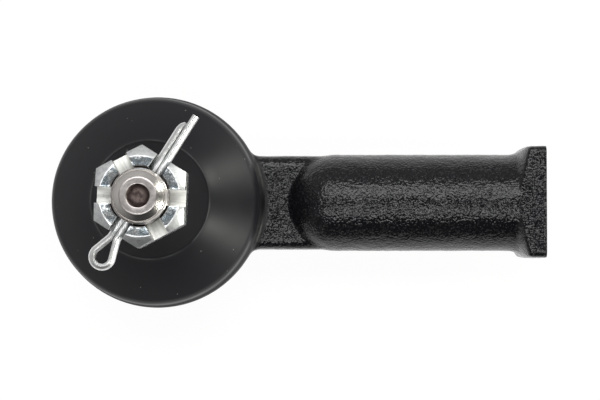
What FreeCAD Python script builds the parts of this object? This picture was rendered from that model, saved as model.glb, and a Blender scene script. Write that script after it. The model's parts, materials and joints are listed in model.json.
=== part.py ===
import FreeCAD, Part

import math
import operator
import os

import Sketcher

# A tie rod end: the ball joint at the outer end of a steering rod. A forged housing carries a
# ball and its stud in two polymer seats; the stud's taper fits a steering arm, and the rod
# screws into the tube. Millimetres, +Z up along the stud, +X along the tube. The origin is the
# middle of the closing plate's outer face. Every piece is drawn about the ball's centre, which
# its body's Placement lifts to ball_height.
DIMENSIONS = {
    # The ball joint
    "ball_height": 16.5,
    "ball_radius": 13.0,
    "ball_flat_depth": 11.0,
    "running_gap": 0.05,
    "half_seat_gap": 0.15,
    "seat_wall": 3.95,
    "seat_lip_level": 7.25,
    "seat_floor_depth": 12.6,
    # The stud, upward from the ball
    "neck_radius": 6.0,
    "neck_level": 15.0,
    "land_radius": 7.4,
    "land_level": 20.0,
    "taper_level": 24.2,
    "taper_radius": 7.2,
    "taper_length": 12.4,
    "taper_drop": 0.775,
    "stud_thread_radius": 5.89,
    "tip_level": 52.3,
    "tip_radius": 3.85,
    "tip_chamfer_radius": 5.0,
    "tip_chamfer_depth": 0.8,
    "thread_lead_in": 1.9,
    "recess_radius": 2.45,
    "recess_floor_radius": 1.5,
    "recess_depth": 1.6,
    # The split pin and its hole, along a direction across the stud
    "pin_angle": 57.6,
    "pin_level": 45.8,
    "pin_hole_radius": 1.6,
    "leg_radius": 1.45,
    "leg_half_gap": 0.04,
    "short_leg_reach": 18.05,
    "long_leg_reach": 20.4,
    "eye_reach": 14.9,
    "eye_radius": 1.45,
    "eye_angle": 18.0,
    "eye_bend_radius": 3.0,
    # The slotted nut
    "nut_across_flats": 18.7,
    "nut_level": 37.0,
    "nut_top_level": 49.0,
    "slot_width": 3.5,
    "slot_depth": 5.0,
    "nut_chamfer_radius": 8.5,
    "nut_chamfer_depth": 1.45,
    "nut_lead_in": 0.6,
    # The housing's round head
    "head_radius": 24.8,
    "head_base_depth": 15.9,
    "base_corner": 3.2,
    "base_corner_arc": 4.2,
    "head_draft": 0.45,
    "shoulder_start_level": 4.4,
    "shoulder_radius": 21.2,
    "shoulder_level": 7.0,
    "shoulder_arc": 3.6,
    "ledge_radius": 20.3,
    "groove_radius": 17.8,
    "groove_level": 8.2,
    "groove_width": 3.0,
    "bead_radius": 18.9,
    "bead_chamfer": 0.7,
    "head_top_level": 13.0,
    "seat_bore_radius": 17.0,
    "seat_shoulder_level": 7.3,
    "throat_radius": 11.7,
    "throat_top_radius": 14.2,
    "plate_bore_radius": 19.0,
    "plate_edge_depth": 13.4,
    "lip_radius": 16.6,
    "lip_thickness": 0.85,
    # The housing's neck, tube and end flange
    "neck_half_width": 11.2,
    "neck_half_height": 4.0,
    "neck_edge_radius": 2.4,
    "forging_draft": 0.2,
    "neck_root_fillet": 1.2,
    "neck_root_step": 0.8,
    "tube_radius": 11.45,
    "tube_nose_start": 30.25,
    "tube_end": 90.4,
    "flange_thickness": 4.0,
    "flange_half_width": 13.15,
    "flange_edge_radius": 1.5,
    "flare_length": 2.2,
    # The threaded socket: M14 x 1.5, left at its minor diameter
    "socket_minor_radius": 6.188,
    "socket_mouth_radius": 7.4,
    "socket_depth": 48.0,
    "drill_point": 3.7,
    # The closing plate and the disc spring above it
    "plate_dish_radius": 14.6,
    "plate_dish_slope": 1.2,
    "plate_sheet": 1.9,
    "spring_radius": 13.4,
    "spring_hole_radius": 8.0,
    "spring_rise": 1.05,
    "spring_sheet": 0.85,
    # The dust boot, from its rim up the skirt and the cone to its top lip
    "boot_rim_radius": 24.15,
    "boot_rim_level": 8.8,
    "boot_rim_arc": 1.525,
    "boot_skirt_radius": 23.76,
    "boot_skirt_level": 12.1,
    "boot_side_radius": 22.7,
    "boot_side_level": 14.35,
    "boot_side_arc": 4.0,
    "boot_top_radius": 13.2,
    "boot_top_level": 24.4,
    "boot_wall": 1.6,
    "boot_disc": 1.05,
    "boot_lip_radius": 20.0,
    "boot_lip_height": 2.8,
    "boot_web_level": 10.35,
    "boot_web_top_level": 12.0,
    "boot_web_inset": 0.9,
    "boot_seal_width": 1.65,
    "boot_seal_height": 3.6,
    "boot_bevel": 0.7,
    # The two rings that hold the boot
    "clamp_wire_radius": 0.6,
    "clamp_groove_depth": 0.4,
    "clamp_level": 9.7,
    "clamp_turn": 350.0,
    "insert_hole_radius": 9.25,
    "insert_radius": 12.35,
    "insert_sheet": 0.85,
}

ROOT_THREE = math.sqrt(3)
SPRING_LEAN = 0.1
PLANE_OF = {"side": "XZ_Plane", "end": "YZ_Plane", "plan": "XY_Plane"}


class Size:
    """A length worked out from the sheet: its value, and the expression that keeps it."""

    SYMBOLS = {"+": operator.add, "-": operator.sub, "*": operator.mul, "/": operator.truediv}

    def __init__(self, value, text):
        self.value = value
        self.text = text

    @staticmethod
    def of(number):
        return number if isinstance(number, Size) else Size(float(number), repr(float(number)))

    @classmethod
    def join(cls, left, symbol, right):
        left, right = cls.of(left), cls.of(right)
        value = cls.SYMBOLS[symbol](left.value, right.value)
        return Size(value, f"({left.text} {symbol} {right.text})")

    def __add__(self, other):
        return Size.join(self, "+", other)

    def __radd__(self, other):
        return Size.join(other, "+", self)

    def __sub__(self, other):
        return Size.join(self, "-", other)

    def __rsub__(self, other):
        return Size.join(other, "-", self)

    def __mul__(self, other):
        return Size.join(self, "*", other)

    def __rmul__(self, other):
        return Size.join(other, "*", self)

    def __truediv__(self, other):
        return Size.join(self, "/", other)

    def __neg__(self):
        return Size.join(-1, "*", self)

    def root(self):
        return Size(math.sqrt(self.value), f"sqrt({self.text})")

    def sine(self):
        return Size(math.sin(math.radians(self.value)), f"sin({self.text} * 1 deg)")

    def cosine(self):
        return Size(math.cos(math.radians(self.value)), f"cos({self.text} * 1 deg)")


class Sizes:
    """The sheet's driving dimensions, each as a Size."""

    def __init__(self, document):
        self.sheet = document.addObject("Spreadsheet::Sheet", "dims")
        for row, (alias, value) in enumerate(DIMENSIONS.items(), start=1):
            self.sheet.set(f"A{row}", alias)
            self.sheet.set(f"B{row}", str(value))
            self.sheet.setAlias(f"B{row}", alias)
        document.recompute()

    def __getattr__(self, alias):
        return Size(float(self.sheet.get(alias)), f"dims.{alias}")


class Bend:
    """An arc that leaves an outline's corner for the next one, bulging left (1) or right (-1)."""

    def __init__(self, radius, side, major=False):
        self.radius = radius
        self.side = side
        self.major = major

    def curve(self, start, end):
        """The arc, counterclockwise as a sketch keeps it."""
        chord = end - start
        across = FreeCAD.Vector(-chord.y, chord.x, 0).normalize() * self.side
        radius = self.radius.value
        drop = math.sqrt(max(radius**2 - (chord.Length / 2) ** 2, 0.0))
        centre = (start + end) / 2 + across * (drop if self.major else -drop)
        circle = Part.Circle(centre, FreeCAD.Vector(0, 0, 1), radius)
        first, last = (start, end) if self.side < 0 else (end, start)
        return Part.ArcOfCircle(circle, circle.parameter(first), circle.parameter(last))

    def bind(self, sketch, edge):
        bind(sketch, "Radius", edge, self.radius)


class HalfTurn(Bend):
    """An arc of about half a circle, held by its centre's level along one axis instead."""

    def __init__(self, radius, side, axis, level):
        super().__init__(radius, side)
        self.axis = axis
        self.level = level

    def bind(self, sketch, edge):
        if isinstance(self.level, Size):
            bind(sketch, f"Distance{self.axis}", -1, 1, edge, 3, self.level)
        else:
            line = -2 if self.axis == "X" else -1
            sketch.addConstraint(Sketcher.Constraint("PointOnObject", edge, 3, line))


def distance_on_circle(radius, offset):
    """How far along one axis a circle's point is that stands `offset` along the other."""
    return (radius * radius - offset * offset).root()


def new_body(name, turned=False):
    """A body about the ball's centre, turned to the split pin's direction where asked."""
    body = document.addObject("PartDesign::Body", name)
    body.Label = name
    body.Placement = FreeCAD.Placement(
        FreeCAD.Vector(0, 0, dims.ball_height.value),
        FreeCAD.Rotation(FreeCAD.Vector(0, 0, 1), dims.pin_angle.value if turned else 0),
    )
    body.setExpression("Placement.Base.z", dims.ball_height.text)
    if turned:
        body.setExpression("Placement.Rotation.Angle", dims.pin_angle.text)
    return body


def new_sketch(body, name, view, offset=None):
    """A sketch on one of the body's own planes, moved along its normal where asked."""
    sketch = body.newObject("Sketcher::SketchObject", name)
    planes = body.Origin.OriginFeatures
    plane = next(plane for plane in planes if plane.Role == PLANE_OF[view])
    sketch.AttachmentSupport = [(plane, "")]
    sketch.MapMode = "FlatFace"
    if offset is not None:
        sketch.AttachmentOffset = FreeCAD.Placement(
            FreeCAD.Vector(0, 0, offset.value), FreeCAD.Rotation()
        )
        sketch.setExpression("AttachmentOffset.Base.z", offset.text)
    return sketch


def bind(sketch, kind, *where):
    """Add one dimension to a sketch, bound to the expression of the Size that ends it."""
    *place, size = where
    index = sketch.addConstraint(Sketcher.Constraint(kind, *place, size.value))
    sketch.setExpression(f"Constraints[{index}]", size.text)


def pin_corner(sketch, edge, end, corner):
    """Hold one end of an edge at its two distances from the sketch's origin."""
    for kind, size, axis in (("DistanceX", corner[0], -2), ("DistanceY", corner[1], -1)):
        if isinstance(size, Size):
            bind(sketch, kind, -1, 1, edge, end, size)
        else:
            sketch.addConstraint(Sketcher.Constraint("PointOnObject", edge, end, axis))


def draw(sketch, corners, closed=True):
    """Draw lines and arcs through corners of (x, y) or (x, y, Bend); a plain 0 is on an axis."""
    points = [FreeCAD.Vector(Size.of(c[0]).value, Size.of(c[1]).value, 0) for c in corners]
    count = len(corners) if closed else len(corners) - 1
    ends = []
    for index in range(count):
        start, end = points[index], points[(index + 1) % len(points)]
        bend = corners[index][2] if len(corners[index]) > 2 else None
        curve = bend.curve(start, end) if bend else Part.LineSegment(start, end)
        edge = sketch.addGeometry(curve, False)
        ends.append((edge, 2, 1) if bend and bend.side > 0 else (edge, 1, 2))
        if bend:
            bend.bind(sketch, edge)
    for index, (edge, first, last) in enumerate(ends):
        pin_corner(sketch, edge, first, corners[index])
        if closed or index + 1 < count:
            after, after_first, _ = ends[(index + 1) % count]
            sketch.addConstraint(Sketcher.Constraint("Coincident", edge, last, after, after_first))
        else:
            pin_corner(sketch, edge, last, corners[index + 1])
    return sketch


def draw_circle(sketch, radius, centre=(0, 0)):
    """Draw one circle about a point of the sketch."""
    middle = FreeCAD.Vector(Size.of(centre[0]).value, Size.of(centre[1]).value, 0)
    circle = Part.Circle(middle, FreeCAD.Vector(0, 0, 1), radius.value)
    edge = sketch.addGeometry(circle, False)
    pin_corner(sketch, edge, 3, centre)
    bind(sketch, "Radius", edge, radius)
    return sketch


def turn_outline(body, name, corners, axis="V_Axis", cut=False):
    """Turn an outline, drawn in the side view, about its vertical or horizontal axis."""
    sketch = draw(new_sketch(body, f"{name}_outline", "side"), corners)
    return revolve(body, name, sketch, axis, cut)


def revolve(body, name, sketch, axis="V_Axis", cut=False, turn=None):
    """Turn a sketch about one of its own axes: a full turn unless a smaller one is given."""
    feature = body.newObject("PartDesign::Groove" if cut else "PartDesign::Revolution", name)
    feature.Profile = sketch
    feature.ReferenceAxis = (sketch, [axis])
    feature.Angle = 360
    if turn is not None:
        feature.setExpression("Angle", turn.text)
    return feature


def extrude(body, name, sketch, length, cut=False):
    """Pad a sketch along its normal, or pocket it the other way."""
    feature = body.newObject("PartDesign::Pocket" if cut else "PartDesign::Pad", name)
    feature.Profile = sketch
    feature.setExpression("Length", length.text)
    return feature


def forged_section(half_width, half_height, edge_radius):
    """A drafted rectangle: widest at the parting plane, its four long edges rounded."""
    side = half_width - dims.forging_draft
    flat = side - edge_radius
    low = half_height - edge_radius
    corner = Bend(edge_radius, -1)
    return [
        (half_width, 0),
        (side, low, corner),
        (flat, half_height),
        (-flat, half_height, corner),
        (-side, low),
        (-half_width, 0),
        (-side, -low, corner),
        (-flat, -half_height),
        (flat, -half_height, corner),
        (side, -low),
    ]


def make_housing():
    """The forging: head, neck, tube and flange joined, then bored for the ball and the rod."""
    body = new_body("housing")
    bottom = -dims.head_base_depth
    side = dims.head_radius - dims.head_draft
    bead_top = dims.head_top_level - dims.bead_chamfer
    groove_top = dims.groove_level + dims.groove_width
    turn_outline(body, "head", [
        (0, bottom),
        (side - dims.base_corner, bottom, Bend(dims.base_corner_arc, -1)),
        (side, bottom + dims.base_corner),
        (dims.head_radius, 0),
        (dims.head_radius, dims.shoulder_start_level, Bend(dims.shoulder_arc, -1)),
        (dims.shoulder_radius, dims.shoulder_level),
        (dims.ledge_radius, dims.groove_level),
        (dims.groove_radius, dims.groove_level),
        (dims.groove_radius, groove_top),
        (dims.bead_radius, groove_top),
        (dims.bead_radius, bead_top),
        (dims.bead_radius - dims.bead_chamfer, dims.head_top_level),
        (0, dims.head_top_level),
    ])
    neck = new_sketch(body, "neck_outline", "end")
    draw(neck, forged_section(dims.neck_half_width, dims.neck_half_height, dims.neck_edge_radius))
    extrude(body, "neck", neck, dims.tube_nose_start + dims.tube_radius)
    fill_neck_root(body)
    turn_outline(body, "tube", [
        (dims.tube_nose_start, 0, Bend(dims.tube_radius, 1)),
        (dims.tube_nose_start + dims.tube_radius, dims.tube_radius),
        (dims.tube_end, dims.tube_radius),
        (dims.tube_end, 0),
    ], axis="H_Axis")
    add_flange(body)
    cut_ball_cavity(body)
    cut_socket(body)


def fill_neck_root(body):
    """The web that rounds the corner between the neck's sides and the round head."""
    fillet = dims.neck_root_fillet
    reach = dims.head_radius + fillet
    side = dims.neck_half_width
    root_x = distance_on_circle(reach, side + fillet)
    touch_x = root_x * dims.head_radius / reach
    touch_y = (side + fillet) * dims.head_radius / reach
    web = draw(new_sketch(body, "neck_root_outline", "plan"), [
        (0, -touch_y),
        (touch_x, -touch_y, Bend(fillet, 1)),
        (root_x, -side),
        (root_x, side, Bend(fillet, 1)),
        (touch_x, touch_y),
        (0, touch_y),
    ])
    root = extrude(body, "neck_root", web, 2 * (dims.neck_half_height - dims.neck_root_step))
    root.SideType = "Symmetric"


def add_flange(body):
    """The rectangular end flange, and the short flare that leads the tube into it."""
    flange_start = dims.tube_end - dims.flange_thickness
    wide = forged_section(dims.flange_half_width, dims.tube_radius, dims.flange_edge_radius)
    slim = forged_section(
        dims.tube_radius, dims.tube_radius, dims.tube_radius - 2 * dims.forging_draft
    )
    flange = draw(new_sketch(body, "flange_outline", "end", flange_start), wide)
    extrude(body, "flange", flange, dims.flange_thickness)
    small_end = new_sketch(body, "flare_small_end", "end", flange_start - dims.flare_length)
    large_end = new_sketch(body, "flare_large_end", "end", flange_start)
    flare = body.newObject("PartDesign::AdditiveLoft", "flare")
    flare.Profile = draw(small_end, slim)
    flare.Sections = [draw(large_end, wide)]
    flare.Ruled = True


def cut_ball_cavity(body):
    """The bore for the seats, the plate's recess under its rolled lip, and the stud's throat."""
    below = -(dims.head_base_depth + 1)
    above = dims.head_top_level + 1
    lip_top = dims.lip_thickness - dims.head_base_depth
    slope = (dims.throat_top_radius - dims.throat_radius) / (
        dims.head_top_level - dims.seat_shoulder_level
    )
    turn_outline(body, "ball_cavity", [
        (0, below),
        (dims.lip_radius, below),
        (dims.lip_radius, lip_top),
        (dims.plate_bore_radius, lip_top),
        (dims.plate_bore_radius, -dims.plate_edge_depth),
        (dims.seat_bore_radius, -dims.plate_edge_depth),
        (dims.seat_bore_radius, dims.seat_shoulder_level),
        (dims.throat_radius, dims.seat_shoulder_level),
        (dims.throat_top_radius + slope, above),
        (0, above),
    ], cut=True)


def cut_socket(body):
    """The blind threaded hole that the steering rod screws into, with its lead-in chamfer."""
    bottom = dims.tube_end - dims.socket_depth
    lead_in = dims.socket_mouth_radius - dims.socket_minor_radius
    turn_outline(body, "socket", [
        (bottom - dims.drill_point, 0),
        (bottom, dims.socket_minor_radius),
        (dims.tube_end - lead_in, dims.socket_minor_radius),
        (dims.tube_end + 1, dims.socket_mouth_radius + 1),
        (dims.tube_end + 1, 0),
    ], axis="H_Axis", cut=True)


def make_ball_stud():
    """The ball with its flattened bottom, neck, sealing land, taper, thread and cross hole."""
    body = new_body("ball_stud", turned=True)
    flat = -dims.ball_flat_depth
    taper_top = dims.taper_level + dims.taper_length
    shoulder = dims.tip_level - dims.tip_chamfer_depth
    recess_floor = dims.tip_level - dims.recess_depth
    turn_outline(body, "turned_stud", [
        (0, flat),
        (distance_on_circle(dims.ball_radius, flat), flat, Bend(dims.ball_radius, -1)),
        (dims.neck_radius, distance_on_circle(dims.ball_radius, dims.neck_radius)),
        (dims.neck_radius, dims.neck_level),
        (dims.land_radius, dims.land_level),
        (dims.land_radius, dims.taper_level),
        (dims.taper_radius, dims.taper_level),
        (dims.taper_radius - dims.taper_drop, taper_top),
        (dims.stud_thread_radius, taper_top),
        (dims.stud_thread_radius, dims.tip_level - dims.thread_lead_in),
        (dims.tip_chamfer_radius, shoulder),
        (dims.tip_radius, dims.tip_level),
        (dims.recess_radius, dims.tip_level),
        (dims.recess_floor_radius, recess_floor),
        (0, recess_floor),
    ])
    hole = new_sketch(body, "pin_hole_outline", "end")
    draw_circle(hole, dims.pin_hole_radius, (0, dims.pin_level))
    drilling = extrude(body, "pin_hole", hole, 2 * dims.stud_thread_radius + 1, cut=True)
    drilling.SideType = "Symmetric"


def make_seats():
    """The two polymer shells that hold the ball: one under the throat, one in the cup."""
    inside = dims.ball_radius + dims.running_gap
    outside = inside + dims.seat_wall - dims.running_gap
    lip = distance_on_circle(inside, dims.seat_lip_level)
    shell = distance_on_circle(inside, dims.half_seat_gap)
    turn_outline(new_body("upper_ball_seat"), "shell", [
        (shell, dims.half_seat_gap),
        (outside, dims.half_seat_gap),
        (outside, dims.seat_lip_level),
        (lip, dims.seat_lip_level, Bend(inside, 1)),
    ])
    flat = -dims.ball_flat_depth
    hole = distance_on_circle(inside, dims.ball_flat_depth)
    turn_outline(new_body("lower_ball_seat"), "cup", [
        (hole, flat, Bend(inside, -1)),
        (shell, -dims.half_seat_gap),
        (outside, -dims.half_seat_gap),
        (outside, 1 - dims.seat_floor_depth),
        (outside - 1, -dims.seat_floor_depth),
        (hole, -dims.seat_floor_depth),
    ])


def make_closing_plate():
    """A pressed dish whose edge sits in the housing's recess and whose middle stands proud."""
    face = -dims.ball_height
    lip_top = dims.lip_thickness - dims.head_base_depth + dims.running_gap
    edge = dims.plate_bore_radius - dims.running_gap
    inner_slope_end = dims.plate_dish_radius + dims.plate_dish_slope - dims.plate_sheet / 3
    turn_outline(new_body("closing_plate"), "dish", [
        (0, face),
        (dims.plate_dish_radius, face),
        (dims.plate_dish_radius + dims.plate_dish_slope, lip_top),
        (edge, lip_top),
        (edge, -dims.plate_edge_depth),
        (inner_slope_end, -dims.plate_edge_depth),
        (inner_slope_end - dims.plate_dish_slope, face + dims.plate_sheet),
        (0, face + dims.plate_sheet),
    ])


def make_preload_spring():
    """A disc spring: its outer edge stands on the plate and its inner edge lifts the cup."""
    bottom = dims.plate_sheet - dims.ball_height + dims.running_gap
    turn_outline(new_body("preload_spring"), "disc", [
        (dims.spring_radius, bottom),
        (dims.spring_radius + SPRING_LEAN, bottom + dims.spring_sheet),
        (dims.spring_hole_radius + SPRING_LEAN, bottom + dims.spring_sheet + dims.spring_rise),
        (dims.spring_hole_radius, bottom + dims.spring_rise),
    ])


def make_dust_boot():
    """The boot's wall, turned: lower lip, web, rim bead, skirt, cone, top disc and sealing lip."""
    lip_inside = dims.groove_radius + dims.running_gap
    lip_bottom = dims.groove_level + dims.running_gap
    lip_top = lip_bottom + dims.boot_lip_height
    notch = dims.boot_lip_radius - dims.clamp_groove_depth
    notch_bottom = dims.clamp_level - dims.clamp_wire_radius - dims.running_gap
    web_start = dims.boot_lip_radius - dims.boot_web_inset
    rim_inside = dims.boot_rim_radius - 2 * dims.boot_rim_arc
    seal = dims.land_radius + dims.running_gap
    disc_bottom = dims.boot_top_level - dims.boot_disc
    seal_bottom = dims.boot_top_level - dims.boot_seal_height
    bevel = dims.boot_bevel
    lean = dims.boot_wall / math.sqrt(2)
    rim = HalfTurn(dims.boot_rim_arc, -1, "Y", dims.boot_rim_level)
    turn_outline(new_body("dust_boot"), "wall", [
        (lip_inside, lip_bottom),
        (dims.boot_lip_radius, lip_bottom),
        (dims.boot_lip_radius, notch_bottom),
        (notch, notch_bottom),
        (notch, dims.boot_web_level),
        (rim_inside, dims.boot_web_level),
        (rim_inside, dims.boot_rim_level, rim),
        (dims.boot_rim_radius, dims.boot_rim_level),
        (dims.boot_skirt_radius, dims.boot_skirt_level, Bend(dims.boot_side_arc, -1)),
        (dims.boot_side_radius, dims.boot_side_level),
        (dims.boot_top_radius, dims.boot_top_level),
        (seal + bevel, dims.boot_top_level),
        (seal, dims.boot_top_level - bevel),
        (seal, seal_bottom + bevel),
        (seal + bevel, seal_bottom),
        (seal + dims.boot_seal_width, seal_bottom + bevel),
        (seal + dims.boot_seal_width, disc_bottom),
        (dims.boot_top_radius - bevel, disc_bottom),
        (dims.boot_side_radius - lean, dims.boot_side_level - lean),
        (dims.boot_skirt_radius - dims.boot_wall, dims.boot_web_top_level),
        (web_start, dims.boot_web_top_level),
        (web_start, lip_top),
        (lip_inside, lip_top),
    ])


def make_boot_rings():
    """The open wire ring round the lower lip, and the flat ring under the top disc."""
    centre = (
        dims.boot_lip_radius
        - dims.clamp_groove_depth
        + dims.clamp_wire_radius
        + dims.running_gap / 2
    )
    clamp = new_body("boot_clamp_ring")
    wire = new_sketch(clamp, "wire_section", "side")
    draw_circle(wire, dims.clamp_wire_radius, (centre, dims.clamp_level))
    revolve(clamp, "wire", wire, turn=dims.clamp_turn)
    top = dims.boot_top_level - dims.boot_disc - dims.running_gap
    turn_outline(new_body("boot_insert_ring"), "flat_ring", [
        (dims.insert_hole_radius, top - dims.insert_sheet),
        (dims.insert_radius, top - dims.insert_sheet),
        (dims.insert_radius, top),
        (dims.insert_hole_radius, top),
    ])


def make_castle_nut():
    """A hexagon with both ends chamfered, bored, and slotted in the middle of each flat."""
    body = new_body("castle_nut", turned=True)
    flat = dims.nut_across_flats / 2
    half_side = flat / ROOT_THREE
    hexagon = draw(new_sketch(body, "hexagon", "plan", dims.nut_level), [
        (flat, half_side),
        (0, 2 * half_side),
        (-flat, half_side),
        (-flat, -half_side),
        (0, -2 * half_side),
        (flat, -half_side),
    ])
    extrude(body, "nut_blank", hexagon, dims.nut_top_level - dims.nut_level)
    bore = new_sketch(body, "bore_circle", "plan", dims.nut_top_level)
    bore_radius = dims.stud_thread_radius + dims.running_gap
    draw_circle(bore, bore_radius)
    extrude(body, "bore", bore, dims.nut_top_level - dims.nut_level + 1, cut=True)
    chamfer_nut(body, bore_radius)
    slot = new_sketch(body, "slot_outline", "plan", dims.nut_top_level)
    half_slot = dims.slot_width / 2
    draw(slot, [
        (bore_radius / 2, -half_slot),
        (flat + 1, -half_slot),
        (flat + 1, half_slot),
        (bore_radius / 2, half_slot),
    ])
    first_slot = extrude(body, "slot", slot, dims.slot_depth, cut=True)
    slots = body.newObject("PartDesign::PolarPattern", "slots")
    slots.Originals = [first_slot]
    slots.Axis = (slot, ["N_Axis"])
    slots.Angle = 360
    slots.Occurrences = 6
    body.Tip = slots


def chamfer_nut(body, bore_radius):
    """Turn away the hexagon's corners and the bore's edge at both ends."""
    outside = 2 * dims.nut_across_flats / 3
    drop = dims.nut_chamfer_depth * (outside - dims.nut_chamfer_radius) / (
        dims.nut_across_flats / ROOT_THREE - dims.nut_chamfer_radius
    )
    lead_in = dims.nut_lead_in
    for name, level, way in (("top", dims.nut_top_level, -1), ("bottom", dims.nut_level, 1)):
        turn_outline(body, f"{name}_chamfer", [
            (dims.nut_chamfer_radius, level),
            (outside, level + way * drop),
            (outside, level - way * 1),
            (dims.nut_chamfer_radius, level - way * 1),
        ], cut=True)
        turn_outline(body, f"{name}_lead_in", [
            (bore_radius - lead_in, level + way * 2 * lead_in),
            (bore_radius + lead_in, level),
            (bore_radius + lead_in, level - way * 1),
            (bore_radius - lead_in, level - way * 1),
        ], cut=True)


def make_cotter_pin():
    """Half-round wire swept from the short leg's tip, round the eye, to the long leg's tip."""
    body = new_body("cotter_pin", turned=True)
    sine = dims.eye_angle.sine()
    cosine = dims.eye_angle.cosine()
    gap = dims.leg_half_gap
    touch_x = dims.eye_radius * sine - dims.eye_reach
    touch_y = dims.eye_radius * cosine
    neck_x = touch_x + (touch_y - gap) * cosine / sine
    ease = dims.eye_bend_radius * (1 - cosine) / sine
    bend_x = neck_x - ease * cosine
    bend_y = gap + ease * sine
    bend = Bend(dims.eye_bend_radius, 1)
    eye = Bend(dims.eye_radius, -1, major=True)
    path = draw(new_sketch(body, "wire_path", "plan", dims.pin_level), [
        (dims.short_leg_reach, gap),
        (neck_x + ease, gap, bend),
        (bend_x, bend_y),
        (touch_x, touch_y, eye),
        (touch_x, -touch_y),
        (bend_x, -bend_y, bend),
        (neck_x + ease, -gap),
        (dims.long_leg_reach, -gap),
    ], closed=False)
    section = new_sketch(body, "half_round", "end", dims.short_leg_reach)
    outer_radius = (dims.leg_radius * dims.leg_radius + gap * gap).root()
    draw(section, [
        (gap, dims.pin_level - dims.leg_radius, HalfTurn(outer_radius, -1, "X", 0)),
        (gap, dims.pin_level + dims.leg_radius),
    ])
    document.recompute()
    wire = body.newObject("PartDesign::AdditivePipe", "bent_wire")
    wire.Profile = section
    wire.Spine = (path, [f"Edge{number + 1}" for number in range(len(path.Shape.Edges))])


def check_document():
    """Stop if any object failed, or if a piece isn't one valid closed solid."""
    for thing in document.Objects:
        if set(thing.State) & {"Invalid", "Error"}:
            raise RuntimeError(f"{thing.Name} failed: {thing.State}")
    for body in bodies():
        shape = body.Shape
        if shape.isNull() or not shape.isValid() or len(shape.Solids) != 1:
            raise RuntimeError(f"{body.Label} is not one valid solid")


def bodies():
    return [thing for thing in document.Objects if thing.TypeId == "PartDesign::Body"]


def write_parts():
    os.makedirs("parts", exist_ok=True)
    for body in bodies():
        body.Shape.exportStep(f"parts/{body.Label}.step")
        box = body.Shape.BoundBox
        print(
            f"{body.Label}: {body.Shape.Volume:.1f} mm3,"
            f" x {box.XMin:.2f}..{box.XMax:.2f},"
            f" y {box.YMin:.2f}..{box.YMax:.2f},"
            f" z {box.ZMin:.2f}..{box.ZMax:.2f}"
        )


document = FreeCAD.newDocument("tie_rod_end")
dims = Sizes(document)
make_housing()
make_seats()
make_preload_spring()
make_closing_plate()
make_ball_stud()
make_dust_boot()
make_boot_rings()
make_castle_nut()
make_cotter_pin()
document.recompute()
check_document()
write_parts()
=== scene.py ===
import json
import math

import bmesh
import bpy
import numpy as np
from mathutils import Matrix, Vector, noise


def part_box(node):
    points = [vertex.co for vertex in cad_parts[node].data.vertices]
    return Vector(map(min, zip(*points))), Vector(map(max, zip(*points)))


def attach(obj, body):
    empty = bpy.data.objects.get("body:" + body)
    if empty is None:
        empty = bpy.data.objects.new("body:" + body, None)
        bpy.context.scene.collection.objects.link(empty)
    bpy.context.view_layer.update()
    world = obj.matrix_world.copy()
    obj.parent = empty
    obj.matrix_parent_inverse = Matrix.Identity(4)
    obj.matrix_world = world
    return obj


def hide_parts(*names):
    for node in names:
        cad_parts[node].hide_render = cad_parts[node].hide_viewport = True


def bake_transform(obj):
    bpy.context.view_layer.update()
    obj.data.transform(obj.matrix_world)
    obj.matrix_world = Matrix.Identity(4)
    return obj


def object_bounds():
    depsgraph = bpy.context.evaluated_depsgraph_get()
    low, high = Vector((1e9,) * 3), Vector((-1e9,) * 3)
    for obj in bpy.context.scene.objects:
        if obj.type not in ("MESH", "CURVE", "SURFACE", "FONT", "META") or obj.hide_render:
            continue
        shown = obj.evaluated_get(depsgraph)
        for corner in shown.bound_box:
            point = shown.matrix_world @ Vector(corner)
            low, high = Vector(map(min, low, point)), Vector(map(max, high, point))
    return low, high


# A tie rod end, seen from above the stud. Millimetres inside the shape functions, and metres in
# every mesh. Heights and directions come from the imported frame; the detail sizes are here.
MM = 0.001
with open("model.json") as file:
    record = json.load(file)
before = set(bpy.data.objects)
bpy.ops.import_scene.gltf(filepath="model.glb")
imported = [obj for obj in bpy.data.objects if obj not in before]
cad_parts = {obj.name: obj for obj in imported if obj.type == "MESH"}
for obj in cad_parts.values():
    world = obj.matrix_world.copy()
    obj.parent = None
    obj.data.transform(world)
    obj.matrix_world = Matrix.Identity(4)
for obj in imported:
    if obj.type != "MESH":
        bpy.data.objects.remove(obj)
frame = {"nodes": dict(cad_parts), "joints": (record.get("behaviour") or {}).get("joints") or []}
cad_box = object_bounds()
part_middle = (cad_box[0] + cad_box[1]) / 2
joints = {joint["name"]: joint for joint in frame["joints"]}


def low(node):
    """The lower corner of a CAD node's box, in millimetres."""
    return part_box(node)[0] / MM


def high(node):
    """The upper corner of a CAD node's box, in millimetres."""
    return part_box(node)[1] / MM


BALL_HEIGHT = joints["stud_tilt"]["pos_m"][2] / MM
PIN_PULL = Vector(joints["cotter_pin_pull"]["axis"])
PIN_ANGLE = math.atan2(-PIN_PULL.y, -PIN_PULL.x)
PIN_LEVEL = (low("cotter_pin").z + high("cotter_pin").z) / 2
STUD_TOP = high("ball_stud").z
NUT_TOP = high("castle_nut").z
TUBE_END = high("housing").x

# The forging: its shoulder's level and reach, the reach of the turned hollow in its head, where
# its socket starts, the grid of its skin, and how often that is smoothed and filled.
SHOULDER = BALL_HEIGHT + 4.4
SHOULDER_END = 25.6
HEAD_INSIDE = 20.4
SOCKET_START = 30.0
FORGING_VOXEL = 0.42
SMOOTH_ROUNDS = 6
FILL_ROUNDS = 14
SAW_ALLOWANCE = 1.0
ROD_THREAD = {"pitch": 1.5, "minor": 6.188, "major": 7.0}
# The ball and the seats round it: radii, the ball's flat, and the seats' gap at its equator.
BALL = 13.0
BALL_FLAT = 11.0
SEAT_INSIDE = 13.05
SEAT_OUTSIDE = 16.95
SEAT_GAP = 0.15
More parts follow.
